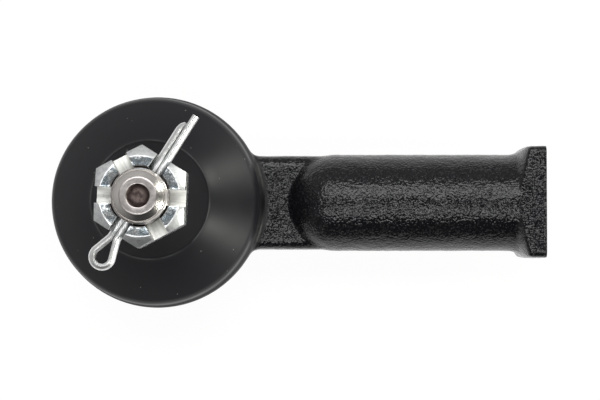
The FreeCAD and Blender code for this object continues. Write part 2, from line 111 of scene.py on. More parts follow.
# The stud's other radii, the reach of the nut's flat top and the depth of its slots.
STUD_THREAD = {"pitch": 1.25, "minor": 5.3, "major": 5.89}
STUD_NECK = 6.0
STUD_LAND = 7.4
TIP_FLAT = 3.85
TIP_RECESS = 2.45
PIN_HOLE = 1.6
NUT_FACE = 8.25
SLOT_DEPTH = 5.0
# The boot: radii of its lower lip, rim, the rim's roll, its top disc and its seal, levels of the
# rim and the top, and the foot of its cone as (radius, level).
BOOT_LIP = 17.85
BOOT_RIM = 24.15
BOOT_ROLL = 1.525
BOOT_TOP = 13.2
BOOT_SEAL = 7.45
BOOT_RIM_LEVEL = BALL_HEIGHT + 8.8
BOOT_TOP_LEVEL = high("dust_boot").z
BOOT_FOOT = (22.7, BALL_HEIGHT + 14.35)
# Points round a turned piece, and round each bend of a rounded corner.
SEGMENTS = 192
CORNER_STEPS = 4


# ---------------------------------------------------------------- shape helpers

def mesh_object(name, vertices, faces):
    """A mesh in metres from vertices in millimetres, smooth, with its faces turned outwards."""
    mesh = bpy.data.meshes.new(name)
    mesh.from_pydata([Vector(v) * MM for v in vertices], [], faces)
    work = bmesh.new()
    work.from_mesh(mesh)
    bmesh.ops.recalc_face_normals(work, faces=work.faces)
    work.to_mesh(mesh)
    work.free()
    mesh.polygons.foreach_set("use_smooth", [True] * len(mesh.polygons))
    piece = bpy.data.objects.new(name, mesh)
    bpy.context.scene.collection.objects.link(piece)
    return piece


def rounded(corners):
    """A line through corners of (radius, level, rounding), with each corner rounded."""
    line = []
    count = len(corners)
    for index, corner in enumerate(corners):
        here = Vector(corner[:2])
        rounding = corner[2] if len(corner) > 2 else 0
        if not rounding:
            line.append(here)
            continue
        before = Vector(corners[index - 1][:2])
        after = Vector(corners[(index + 1) % count][:2])
        back = min(rounding, 0.45 * (before - here).length)
        on = min(rounding, 0.45 * (after - here).length)
        start = here + (before - here).normalized() * back
        end = here + (after - here).normalized() * on
        for step in range(CORNER_STEPS + 1):
            t = step / CORNER_STEPS
            line.append(start * (1 - t) ** 2 + here * 2 * t * (1 - t) + end * t * t)
    return line


def arc(start, end, radius, steps):
    """Points between two ends of an arc, without the ends, bulging right of the way it goes."""
    start, end = Vector(start), Vector(end)
    chord = end - start
    across = Vector((-chord.y, chord.x)).normalized()
    drop = math.sqrt(abs(radius) ** 2 - (chord.length / 2) ** 2)
    centre = (start + end) / 2 + across * math.copysign(drop, radius)
    first = math.atan2(start.y - centre.y, start.x - centre.x)
    last = math.atan2(end.y - centre.y, end.x - centre.x)
    turn = (last - first + math.pi) % (2 * math.pi) - math.pi
    angles = [first + turn * step / steps for step in range(1, steps)]
    return [(centre.x + abs(radius) * math.cos(a), centre.y + abs(radius) * math.sin(a))
            for a in angles]


def levels(bottom, top, radius, step):
    """Points up a straight wall, one each step."""
    count = max(1, round((top - bottom) / step))
    return [(radius, bottom + (top - bottom) * number / count) for number in range(count + 1)]


def lathe(name, line, shape=None, segments=SEGMENTS, closed=True):
    """A turned piece from a line of (radius, level). The line closes on itself, or runs from
    axis to axis where closed is false. shape(radius, level, angle) may move a point's radius."""
    vertices, faces, rings = [], [], []
    for radius, level in line:
        if radius < 1e-6:
            rings.append([len(vertices)])
            vertices.append((0, 0, level))
            continue
        rings.append(list(range(len(vertices), len(vertices) + segments)))
        for number in range(segments):
            angle = 2 * math.pi * number / segments
            reach = shape(radius, level, angle) if shape else radius
            vertices.append((reach * math.cos(angle), reach * math.sin(angle), level))
    following = rings[1:] + rings[:1] if closed else rings[1:]
    for one, two in zip(rings, following):
        for number in range(segments):
            after = (number + 1) % segments
            corners = [one[number % len(one)], one[after % len(one)],
                       two[after % len(two)], two[number % len(two)]]
            faces.append(list(dict.fromkeys(corners)))
    return mesh_object(name, vertices, faces)


def swept_faces(rings, sides):
    """The faces of a swept bar: its wall from ring to ring of points, and its two ends."""
    faces = []
    for ring in range(rings - 1):
        for number in range(sides):
            after = (number + 1) % sides
            faces.append((ring * sides + number, ring * sides + after,
                          (ring + 1) * sides + after, (ring + 1) * sides + number))
    faces.append(list(range(sides)))
    faces.append(list(range((rings - 1) * sides, rings * sides)))
    return faces


def thread(size, bottom, top, fade):
    """How far out a V thread stands at a level and angle, flat at its two ends."""
    depth = size["major"] - size["minor"]

    def radius_at(level, angle):
        turn = (level / size["pitch"] - angle / (2 * math.pi)) % 1.0
        ridge = min(1.0, max(0.0, 1.25 * (1 - abs(2 * turn - 1)) - 0.06))
        share = min(1.0, max(0.0, min(level - bottom, top - level) / fade))
        return size["major"] - depth * (1 - ridge) * share

    return radius_at


def copy_of(node, name):
    """A copy of a CAD node's mesh as a new object, with its doubled vertices merged."""
    mesh = frame["nodes"][node].data.copy()
    mesh.name = name
    mesh.materials.clear()
    piece = bpy.data.objects.new(name, mesh)
    bpy.context.scene.collection.objects.link(piece)
    work = bmesh.new()
    work.from_mesh(mesh)
    bmesh.ops.remove_doubles(work, verts=work.verts, dist=1e-6)
    work.to_mesh(mesh)
    work.free()
    return piece


def apply_modifiers(piece):
    """Replace the piece's mesh by what its modifiers make of it."""
    graph = bpy.context.evaluated_depsgraph_get()
    made = bpy.data.meshes.new_from_object(piece.evaluated_get(graph))
    piece.modifiers.clear()
    piece.data = made


def smooth_by_angle(piece, degrees):
    """Smooth shading, with edges sharper than the angle kept sharp."""
    work = bmesh.new()
    work.from_mesh(piece.data)
    for face in work.faces:
        face.smooth = True
    for edge in work.edges:
        edge.smooth = edge.calc_face_angle(0) < math.radians(degrees)
    work.to_mesh(piece.data)
    work.free()


# ------------------------------------------------------------- material helpers

class Finish:
    """A material built from nodes, with the object's own coordinates in millimetres. Its plain
    colour and roughness hold where no pattern replaces them."""

    def __init__(self, name, colour, roughness, metallic=0.0, specular=0.5):
        self.material = bpy.data.materials.new(name)
        self.material.use_nodes = True
        self.nodes = self.material.node_tree.nodes
        self.links = self.material.node_tree.links
        self.shader = self.nodes["Principled BSDF"]
        self.set(self.shader, "Base Color", (*colour, 1))
        self.set(self.shader, "Roughness", roughness)
        self.set(self.shader, "Metallic", metallic)
        self.set(self.shader, "Specular IOR Level", specular)
        place = self.nodes.new("ShaderNodeTexCoord").outputs["Object"]
        self.place = self.node("ShaderNodeVectorMath", operation="SCALE", Vector=place,
                               Scale=1 / MM).outputs[0]

    def set(self, node, socket, value):
        """Link a socket to another node's output, or set its plain value."""
        if isinstance(value, bpy.types.NodeSocket):
            self.links.new(value, node.inputs[socket])
        else:
            node.inputs[socket].default_value = value

    def node(self, kind, **settings):
        """A node whose lower-case settings are its properties and whose others are sockets."""
        made = self.nodes.new(kind)
        for name, value in settings.items():
            if name[0].islower():
                setattr(made, name, value)
        for name, value in settings.items():
            if not name[0].islower():
                self.set(made, name.replace("_", " "), value)
        return made

    def noise(self, size, detail=2.0, vector=None, roughness=0.5):
        """Soft noise with features of about this size in millimetres, from 0 to 1."""
        made = self.node("ShaderNodeTexNoise", Vector=vector or self.place, Scale=1 / size,
                         Detail=detail, Roughness=roughness)
        return made.outputs["Fac"]

    def cells(self, size):
        """How far a point is from the middle of its cell, in cells of about this size."""
        made = self.node("ShaderNodeTexVoronoi", Vector=self.place, Scale=1 / size)
        return made.outputs["Distance"]

    def math(self, operation, first, second=0.0):
        """What a math node makes of one or two values."""
        made = self.node("ShaderNodeMath", operation=operation)
        self.set(made, 0, first)
        self.set(made, 1, second)
        return made.outputs[0]

    def spread(self, value, start, end, low_value=0.0, high_value=1.0):
        """A value stretched from one range to another, and clamped."""
        made = self.node("ShaderNodeMapRange", Value=value, From_Min=start, From_Max=end,
                         To_Min=low_value, To_Max=high_value)
        return made.outputs[0]

    def blend(self, share, first, second):
        """A colour between two others."""
        made = self.node("ShaderNodeMix", data_type="RGBA")
        colours = [socket for socket in made.inputs if socket.type == "RGBA"]
        self.links.new(share, made.inputs[0])
        for socket, colour in zip(colours, (first, second)):
            if isinstance(colour, bpy.types.NodeSocket):
                self.links.new(colour, socket)
            else:
                socket.default_value = (*colour, 1)
        return next(socket for socket in made.outputs if socket.type == "RGBA")

    def axis_distance(self):
        """How far a point is from the stud's axis, in millimetres."""
        parts = self.node("ShaderNodeSeparateXYZ", Vector=self.place)
        square = self.math("ADD", self.math("MULTIPLY", parts.outputs[0], parts.outputs[0]),
                           self.math("MULTIPLY", parts.outputs[1], parts.outputs[1]))
        return self.math("SQRT", square)

    def turned_about_axis(self):
        """A point as (its angle round the stud in turns, 0, 0)."""
        parts = self.node("ShaderNodeSeparateXYZ", Vector=self.place)
        angle = self.math("ARCTAN2", parts.outputs[1], parts.outputs[0])
        turns = self.math("DIVIDE", angle, 2 * math.pi)
        return self.node("ShaderNodeCombineXYZ", X=turns).outputs[0]

    def level(self):
        """A point's height in millimetres."""
        return self.node("ShaderNodeSeparateXYZ", Vector=self.place).outputs[2]

    def colour(self, value):
        """Give the surface this colour."""
        self.set(self.shader, "Base Color", value)

    def roughness(self, value):
        """Give the surface this roughness."""
        self.set(self.shader, "Roughness", value)

    def bump(self, *layers):
        """Stack bumps of (height from 0 to 1, depth in millimetres)."""
        normal = None
        for height, depth in layers:
            made = self.node("ShaderNodeBump", Height=height, Strength=1.0, Distance=depth * MM)
            if normal is not None:
                self.links.new(normal, made.inputs["Normal"])
            normal = made.outputs[0]
        self.links.new(normal, self.shader.inputs["Normal"])


# -------------------------------------------------------------------- materials

def black_paint():
    """Gloss black paint over a shot-blasted forging, whose peened skin shows through it. The
    grain's peaks are painted lighter, partly as wear and partly as painted glints. The head's
    turned shoulder is smooth, and the paint is duller round it."""
    finish = Finish("black_paint", (0.005, 0.005, 0.006), 0.13, specular=0.34)
    patches = finish.noise(2.2, 3)
    reach = finish.axis_distance()
    high_up = finish.spread(finish.level(), SHOULDER - 2, SHOULDER - 1)
    turned = finish.math("MULTIPLY", high_up,
                         finish.spread(reach, SHOULDER_END, SHOULDER_END - 0.4))
    by_head = finish.math("MULTIPLY", high_up,
                          finish.spread(reach, SHOULDER_END + 0.6, SHOULDER_END))
    finish.roughness(finish.math("ADD", finish.spread(patches, 0.3, 0.7, 0.08, 0.15),
                                 finish.math("MULTIPLY", by_head, 0.38)))
    forged = finish.math("SUBTRACT", 1.0, turned)
    grain = finish.noise(0.52, 1)
    # The grain's peaks are painted lighter: partly worn paint, partly painted glints.
    worn_and_painted_glint = finish.math("MULTIPLY", finish.spread(grain, 0.54, 0.66), forged)
    finish.colour(finish.blend(worn_and_painted_glint, (0.005, 0.005, 0.006), (0.017, 0.017, 0.018)))
    peening = finish.math("MULTIPLY", grain, forged)
    finish.bump((finish.noise(1.6, 2), 0.08), (peening, 0.17))
    return finish.material


def boot_rubber():
    """Semi-gloss black rubber with specks of dust, and painted light on its top: a painted
    highlight along the crease, and the flat top painted lighter than the cone.
    """
    finish = Finish("boot_rubber", (0.010, 0.010, 0.011), 0.38, specular=0.20)
    reach = finish.axis_distance()
    # The flat top is painted lighter than the cone: painted light that evens its shade with the
    # cone's.
    flat = finish.spread(reach, BOOT_TOP + 0.2, BOOT_TOP - 0.6)
    rubber = finish.blend(flat, (0.007, 0.007, 0.009), (0.018, 0.018, 0.020))
    cloud = finish.noise(7.0, 2)
    # A thin line along the crease round the top, painted lighter in patches: a painted highlight.
    crease_highlight_band = finish.math("MULTIPLY", finish.spread(reach, BOOT_TOP - 0.2, BOOT_TOP - 0.05),
                         finish.spread(reach, BOOT_TOP + 0.25, BOOT_TOP + 0.1))
    painted_crease_highlight = finish.math("MULTIPLY", crease_highlight_band, finish.spread(cloud, 0.4, 0.6))
    rubber = finish.blend(painted_crease_highlight, rubber, (0.045, 0.045, 0.045))
    dust = finish.math("LESS_THAN", finish.cells(2.6), 0.045)
    finish.colour(finish.blend(dust, rubber, (0.20, 0.20, 0.19)))
    finish.roughness(finish.spread(cloud, 0.3, 0.7, 0.36, 0.42))
    rings = finish.noise(0.5, 1, vector=finish.node("ShaderNodeCombineXYZ", X=reach).outputs[0])
    finish.bump((rings, 0.006), (finish.noise(0.35, 2), 0.004))
    return finish.material


def milled_zinc(finish):
    """Zinc over milled metal: bright, with fine lines that run out from the axis."""
    cutter = finish.noise(0.028, 2, vector=finish.turned_about_axis())
    return finish.blend(finish.spread(cutter, 0.35, 0.62), (0.62, 0.62, 0.58), (1.0, 1.0, 0.97))


def dull_zinc(finish, mottle):
    """Zinc on the nut's flat top: mottled dark and light, and bluish in places."""
    tint = finish.noise(2.6, 2)
    light = finish.blend(finish.spread(tint, 0.45, 0.6), (0.66, 0.68, 0.68), (0.44, 0.52, 0.58))
    return finish.blend(finish.spread(mottle, 0.40, 0.58), (0.15, 0.17, 0.18), light)


def nut_zinc():
    """Bright zinc plate, satin and faintly blue. The flat top is duller, the sides below the
    chamfer are painted darker as painted shade and are smoother, the slots are milled, and the
    bore's mouth round the stud is painted dark as painted shade."""
    finish = Finish("nut_zinc", (0.80, 0.82, 0.83), 0.45, metallic=1.0)
    reach, level = finish.axis_distance(), finish.level()
    mottle = finish.noise(0.85, 3, roughness=0.6)
    top = finish.math("MULTIPLY", finish.math("LESS_THAN", reach, NUT_FACE),
                      finish.math("GREATER_THAN", level, NUT_TOP - 0.03))
    floor = finish.math("COMPARE", level, NUT_TOP - SLOT_DEPTH)
    # The sides below the chamfer are painted darker: painted shade.
    sides = finish.math("LESS_THAN", level, NUT_TOP - 1.7)
    # The bore's mouth round the stud is painted dark: painted shade in the gap between nut and
    # stud.
    bore = finish.math("LESS_THAN", reach, STUD_THREAD["major"] + 0.41)
    painted_bore_shade = finish.math("MULTIPLY", bore, finish.math("LESS_THAN", level, NUT_TOP - 0.12))
    painted_bore_shade = finish.math("MULTIPLY", painted_bore_shade, finish.math("GREATER_THAN", level, NUT_TOP - 3.6))
    plate = finish.blend(finish.spread(mottle, 0.3, 0.6), (0.66, 0.68, 0.69), (0.90, 0.91, 0.91))
    plate = finish.blend(sides, plate, (0.46, 0.47, 0.48))
    plate = finish.blend(top, plate, dull_zinc(finish, mottle))
    plate = finish.blend(floor, plate, milled_zinc(finish))
    finish.colour(finish.blend(painted_bore_shade, plate, (0.05, 0.05, 0.05)))
    smoother = finish.math("MULTIPLY", finish.math("MAXIMUM", top, sides), 0.1)
    rough = finish.math("SUBTRACT", finish.spread(mottle, 0.3, 0.7, 0.42, 0.30), smoother)
    finish.roughness(finish.math("MAXIMUM", rough, finish.math("MULTIPLY", floor, 0.62)))
    finish.bump((finish.noise(1.3, 2), 0.05), (finish.noise(0.30, 3), 0.020))
    return finish.material


def pin_zinc():
    """The split pin's drawn wire: bright zinc, nearly white, with fine lines and few marks."""
    finish = Finish("pin_zinc", (0.88, 0.89, 0.88), 0.36, metallic=1.0)
    mottle = finish.noise(0.9, 3)
    finish.colour(finish.blend(finish.spread(mottle, 0.3, 0.6), (0.62, 0.64, 0.64),
                               (0.84, 0.84, 0.83)))
    finish.roughness(finish.spread(mottle, 0.3, 0.7, 0.42, 0.32))
    finish.bump((finish.noise(0.9, 2), 0.02), (finish.noise(0.25, 2), 0.005))
    return finish.material


def stud_steel():
    """Turned steel, warm grey, with fine rings, a chamfer painted lighter as a painted reflection,
    and a stained recess.
    """
    finish = Finish("stud_steel", (0.50, 0.47, 0.45), 0.30, metallic=1.0)
    reach, level = finish.axis_distance(), finish.level()
    lines = finish.noise(0.16, 2, vector=finish.node(
        "ShaderNodeCombineXYZ", X=reach, Z=level).outputs[0])
    patches = finish.noise(1.1, 3)
    in_tip = finish.math("GREATER_THAN", level, STUD_TOP - 2)
    chamfer = finish.math("MULTIPLY", in_tip,
                          finish.spread(reach, TIP_FLAT + 0.05, TIP_FLAT + 0.15))
    plain = finish.blend(finish.spread(patches, 0.35, 0.65), (0.42, 0.39, 0.38),
                         (0.60, 0.57, 0.55))
    # The chamfer is painted lighter than the rest of the steel: a painted reflection.
    plain = finish.blend(chamfer, plain, (0.70, 0.67, 0.64))
    stain = finish.blend(finish.spread(patches, 0.4, 0.6), (0.065, 0.050, 0.046),
                         (0.16, 0.125, 0.115))
    recess = finish.math("MULTIPLY", in_tip,
                         finish.spread(reach, TIP_RECESS + 0.1, TIP_RECESS - 0.1))
    finish.colour(finish.blend(recess, plain, stain))
    rough = finish.math("SUBTRACT", finish.spread(lines, 0.3, 0.7, 0.24, 0.36),
                        finish.math("MULTIPLY", chamfer, 0.06))
    finish.roughness(finish.math("ADD", rough, finish.math("MULTIPLY", recess, 0.3)))
    finish.bump((lines, 0.010), (finish.noise(0.6, 2), 0.012))
    return finish.material


def plate_steel():
    """Dark phosphated sheet steel."""
    finish = Finish("plate_steel", (0.06, 0.06, 0.062), 0.42, metallic=0.6)
    cloud = finish.noise(2.0, 4)
    finish.colour(finish.blend(cloud, (0.035, 0.035, 0.037), (0.10, 0.10, 0.10)))
    finish.roughness(finish.spread(cloud, 0.3, 0.7, 0.34, 0.5))
    finish.bump((finish.noise(0.4, 3), 0.012))
    return finish.material


def spring_steel():
    """Bright spring steel with a light oil film."""
    finish = Finish("spring_steel", (0.42, 0.42, 0.43), 0.28, metallic=1.0)
    cloud = finish.noise(1.0, 3)
    finish.colour(finish.blend(cloud, (0.32, 0.32, 0.34), (0.52, 0.52, 0.52)))
    finish.roughness(finish.spread(cloud, 0.3, 0.7, 0.22, 0.36))
    finish.bump((finish.noise(0.25, 2), 0.004))
    return finish.material


def seat_polymer():
    """Off-white moulded acetal."""
    finish = Finish("seat_polymer", (0.72, 0.70, 0.64), 0.45)
    cloud = finish.noise(3.0, 2)
    finish.colour(finish.blend(cloud, (0.66, 0.64, 0.58), (0.78, 0.76, 0.70)))
    finish.bump((finish.noise(0.3, 2), 0.006))
    return finish.material


# ----------------------------------------------------------------------- pieces

def finish_piece(piece, body, material, slot, *nodes):
    """Give a piece its material, hide the nodes it replaces, and let it ride a body, where it has
    one. Its slot is not used."""
    piece.data.materials.clear()
    piece.data.materials.append(material)
    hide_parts(*nodes)
    if body:
        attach(piece, body)
    return piece


def open_socket(piece):
    """Widen the socket's plain wall behind its thread piece, up to the mouth's chamfer."""
    axis_level = BALL_HEIGHT * MM
    for vertex in piece.data.vertices:
        across = Vector((0, vertex.co.y, vertex.co.z - axis_level))
        on_wall = abs(across.length / MM - ROD_THREAD["minor"]) < 0.02
        if on_wall and vertex.co.x > SOCKET_START * MM:
            across *= (ROD_THREAD["major"] + 0.05) * MM / across.length
            vertex.co = (vertex.co.x, across.y, axis_level + across.z)


def make_forging(material):
    """The housing with a forging's soft edges, filled corners and uneven skin."""
    piece = copy_of("housing", "housing_forging")
    open_socket(piece)
    for vertex in piece.data.vertices:
        if vertex.co.x > (TUBE_END - 0.01) * MM:
            vertex.co.x += SAW_ALLOWANCE * MM
    remesh = piece.modifiers.new("remesh", "REMESH")
    remesh.mode = "VOXEL"
    remesh.voxel_size = FORGING_VOXEL * MM
    soften = piece.modifiers.new("soften", "CORRECTIVE_SMOOTH")
    soften.iterations = SMOOTH_ROUNDS
    soften.smooth_type = "LENGTH_WEIGHTED"
    soften.use_only_smooth = True
    apply_modifiers(piece)
    fill_corners(piece.data)
    roughen_forging(piece.data)
    saw_end(piece.data)
    return finish_piece(piece, "housing", material, "black_paint", "housing")


def saw_end(mesh):
    """Cut the tube's mouth off square, with sharp edges, where the forging is machined."""
    work = bmesh.new()
    work.from_mesh(mesh)
    whole = [*work.verts, *work.edges, *work.faces]
    bmesh.ops.bisect_plane(work, geom=whole, plane_co=(TUBE_END * MM, 0, 0), plane_no=(1, 0, 0),
                           dist=1e-7, clear_outer=True)
    rim = [edge for edge in work.edges if edge.is_boundary]
    bmesh.ops.triangle_fill(work, edges=rim, use_beauty=True, normal=(1, 0, 0))
    for face in work.faces:
        face.smooth = True
    for edge in rim:
        edge.smooth = False
    work.to_mesh(mesh)
    work.free()


def forged_share(places):
    """How much of each point is forged skin: 1 outside, 0 in the bores and on turned faces."""
    across = np.hypot(places[:, 1], places[:, 2] - BALL_HEIGHT)
    reach = np.hypot(places[:, 0], places[:, 1])
    bored = (across < ROD_THREAD["major"] + 1.2) & (places[:, 0] > SOCKET_START)
    cavity = reach < HEAD_INSIDE
    shoulder = (reach < SHOULDER_END + 0.9) & (places[:, 2] > SHOULDER - 1.6)
    return 1.0 - (bored | cavity | shoulder)


def fill_corners(mesh):
    """Round the inner corners as a die does: points in a hollow move out by most of its depth,
    and points on a bulge sink very little."""
    filled, sunk = 0.9, 0.06
    count = len(mesh.vertices)
    places = np.empty(count * 3)
    mesh.vertices.foreach_get("co", places)
    places = places.reshape(count, 3) / MM
    pairs = np.empty(len(mesh.edges) * 2, dtype=np.int32)
    mesh.edges.foreach_get("vertices", pairs)
    one, two = pairs.reshape(-1, 2).T
    ties = np.bincount(one, minlength=count) + np.bincount(two, minlength=count)
    share = forged_share(places)
    for _ in range(FILL_ROUNDS):
        normals = np.empty(count * 3)
        mesh.vertices.foreach_get("normal", normals)
        normals = normals.reshape(count, 3)
        around = np.empty_like(places)
        for axis in range(3):
            around[:, axis] = (np.bincount(one, places[two, axis], count)
                               + np.bincount(two, places[one, axis], count)) / ties
        hollow = np.einsum("ij,ij->i", around - places, normals) * share
        places += normals * np.maximum(hollow, sunk * hollow)[:, None] * filled
        mesh.vertices.foreach_set("co", (places * MM).ravel())
        mesh.update()


def roughen_forging(mesh):
    """Small random swells on the forged skin, none in its bores."""
    normals = [vertex.normal.copy() for vertex in mesh.vertices]
    places = np.array([vertex.co for vertex in mesh.vertices]) / MM
    share = forged_share(places)
    for vertex, normal, forged in zip(mesh.vertices, normals, share):
        place = vertex.co / MM
        swell = noise.noise(place / 1.1) * 0.05 + noise.noise(place / 4.0) * 0.06
        vertex.co += normal * (swell * float(forged) * MM)


def make_rod_thread(material):
    """The rod's thread inside the socket, as a thin sleeve whose outside is in the forging."""
    bottom = TUBE_END - 47.6
    top = TUBE_END - 0.5
    crest, outside = ROD_THREAD["major"], ROD_THREAD["major"] + 0.2
    radius_at = thread(ROD_THREAD, bottom, top, 1.2)

    def shape(radius, level, angle):
        return radius if radius > crest + 0.01 else radius_at(level, angle)

    wall = levels(bottom, top, crest, ROD_THREAD["pitch"] / 10)
    piece = lathe("rod_thread", [(outside, bottom), *wall, (outside, top)], shape, segments=72)
    to_tube_axis = Matrix.Translation((0, 0, BALL_HEIGHT * MM))
    piece.data.transform(to_tube_axis @ Matrix.Rotation(math.radians(90), 4, "Y"))
    piece.data.materials.append(material)
    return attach(piece, "housing")


def boot_lip():
    """The lower lip's underside and the inside of the rolled rim, up to where its roll starts."""
    under, web, back = BALL_HEIGHT + 8.25, BALL_HEIGHT + 10.35, 19.6
    step, inner = BALL_HEIGHT + 9.05, BOOT_RIM - 2 * BOOT_ROLL
    line = rounded([(BOOT_LIP, under), (20.0, under, 0.3), (20.0, step, 0.1)])
    return [*line, (back, step), (back, web), (inner, web), (inner, BOOT_RIM_LEVEL)]


def boot_outside():
    """The rolled rim and its moulding line, the skirt, the cone and the line round the top."""
    rim_level, top, top_level = BOOT_RIM_LEVEL, BOOT_TOP, BOOT_TOP_LEVEL
    skirt = (23.76, BALL_HEIGHT + 12.1)
    line = []
    for step in range(1, 14):
        angle = math.pi + math.pi * step / 14
        line.append((BOOT_RIM - BOOT_ROLL + BOOT_ROLL * math.cos(angle),
                     rim_level + BOOT_ROLL * math.sin(angle)))
    line += [(BOOT_RIM, rim_level - 0.16), (BOOT_RIM + 0.09, rim_level - 0.05),
             (BOOT_RIM + 0.09, rim_level + 0.05), (BOOT_RIM - 0.01, rim_level + 0.16)]
    line += [skirt, *arc(skirt, BOOT_FOOT, 4.0, 14)]
    line += [BOOT_FOOT, *arc(BOOT_FOOT, (top, top_level), 400.0, 18)]
    return line + [(top + 0.09, top_level - 0.05), (top + 0.02, top_level + 0.05),
                   (top - 0.09, top_level + 0.06), (top - 0.18, top_level)]


def boot_inside():
    """The top's seal round the stud, the cone's inside and the lower lip's upper side."""
    wall, top_level = 1.16, BOOT_TOP_LEVEL
    ceiling = (BOOT_TOP - 0.7, top_level - 1.05)
    foot = (BOOT_FOOT[0] - wall, BOOT_FOOT[1] - 1.1)
    lip_top, lip_edge = BALL_HEIGHT + 12.0, BALL_HEIGHT + 11.05
    seal_end, behind = 8.15, 9.1
    line = rounded([(BOOT_TOP - 0.3, top_level), (seal_end, top_level, 0.3),
                    (BOOT_SEAL, top_level - 0.7, 0.2), (BOOT_SEAL, top_level - 2.9, 0.2),
                    (seal_end, top_level - 3.6, 0.2), (behind, top_level - 2.9, 0.2),
                    (behind, top_level - 1.05)])[1:]
    line += [ceiling, *arc(ceiling, foot, -400.0, 14), foot]
    return line + [(22.1, lip_top), (19.1, lip_top), (19.1, lip_edge), (BOOT_LIP, lip_edge)]


def make_boot(material):
    """The dust boot, as one turned piece that rides no body."""
    piece = lathe("dust_boot_skin", boot_lip() + boot_outside() + boot_inside())
    smooth_by_angle(piece, 50)
    finish_piece(piece, None, material, "boot_rubber", "dust_boot")
    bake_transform(piece)
    return piece


def other_side(radius, side):
    """How far a ball's surface is along one axis, at a distance along the axis across it."""
    return math.sqrt(radius**2 - side**2)


def stud_shank(thread_bottom):
    """The ball, from its flat up, then the neck, the land and the taper up to the thread."""
    base = BALL_HEIGHT
    flat = (other_side(BALL, BALL_FLAT), base - BALL_FLAT)
    equator = (BALL, base)
    neck = (STUD_NECK, base + other_side(BALL, STUD_NECK))
    land, land_top = base + 20.0, base + 24.2
    taper_start, taper_end = 7.2, 6.425
    line = [(0, flat[1]), flat, *arc(flat, equator, BALL, 16), equator,
            *arc(equator, neck, BALL, 20)]
    return line + rounded([neck, (STUD_NECK, base + 15.0, 1.0), (STUD_LAND, land, 0.3),
                           (STUD_LAND, land_top, 0.1), (taper_start, land_top, 0.05),
                           (taper_end, thread_bottom, 0.2),
                           (STUD_THREAD["major"], thread_bottom)])


def stud_tip(thread_top):
    """The thread's end, a fine groove, the chamfer, the flat tip and its round recess."""
    return rounded([(STUD_THREAD["major"], thread_top), (5.42, STUD_TOP - 1.22, 0.1),
                    (5.33, STUD_TOP - 1.4, 0.05), (5.26, STUD_TOP - 1.05, 0.08),
                    (4.96, STUD_TOP - 0.82, 0.1), (TIP_FLAT, STUD_TOP, 0.22),
                    (TIP_RECESS, STUD_TOP, 0.16), (1.9, STUD_TOP - 1.25, 0.4),
                    (1.2, STUD_TOP - 1.6, 0.3), (0, STUD_TOP - 1.5)])[1:]


def make_stud(material):
    """The ball stud, with a rolled thread and the split pin's hole."""
    thread_bottom = BALL_HEIGHT + 36.6
    thread_top = STUD_TOP - 1.9
    crest = STUD_THREAD["major"]
    radius_at = thread(STUD_THREAD, thread_bottom, thread_top + 1.2, 0.9)

    def shape(radius, level, angle):
        on_thread = thread_bottom < level < thread_top + 0.01 and radius > crest - 0.01
        return radius_at(level, angle) if on_thread else radius

    wall = levels(thread_bottom + 0.05, thread_top, crest, STUD_THREAD["pitch"] / 10)
    line = stud_shank(thread_bottom) + wall + stud_tip(thread_top)
    piece = lathe("turned_stud", line, shape, segments=144, closed=False)
    drill_stud(piece)
    smooth_by_angle(piece, 32)
    return finish_piece(piece, "ball_stud", material, "stud_steel", "ball_stud")


def drill_stud(piece):
    """Cut the split pin's hole across the stud."""
    work = bmesh.new()
    turn = Matrix.Rotation(PIN_ANGLE, 4, "Z") @ Matrix.Rotation(math.radians(90), 4, "Y")
    place = Matrix.Translation((0, 0, PIN_LEVEL * MM)) @ turn
    bmesh.ops.create_cone(work, cap_ends=True, segments=40, radius1=PIN_HOLE * MM,
                          radius2=PIN_HOLE * MM, depth=14 * MM, matrix=place)
    mesh = bpy.data.meshes.new("drill")
    work.to_mesh(mesh)
    work.free()
    drill = bpy.data.objects.new("drill", mesh)
    bpy.context.scene.collection.objects.link(drill)
    cut = piece.modifiers.new("drill", "BOOLEAN")
    cut.object = drill
    cut.operation = "DIFFERENCE"
    cut.solver = "EXACT"
    bpy.context.view_layer.update()
    apply_modifiers(piece)
    bpy.data.objects.remove(drill)


def make_nut(material):
    """The slotted nut with its edges broken."""
    piece = copy_of("castle_nut", "slotted_nut")
    work = bmesh.new()
    work.from_mesh(piece.data)
    bmesh.ops.dissolve_limit(work, angle_limit=math.radians(1.5), verts=work.verts,
                             edges=work.edges)
    work.to_mesh(piece.data)
    work.free()
    bevel = piece.modifiers.new("bevel", "BEVEL")
    bevel.width = 0.16 * MM
    bevel.segments = 2
    bevel.limit_method = "ANGLE"
    bevel.angle_limit = math.radians(24)
    apply_modifiers(piece)
    smooth_by_angle(piece, 30)
    return finish_piece(piece, "ball_stud", material, "zinc_plate", "castle_nut")


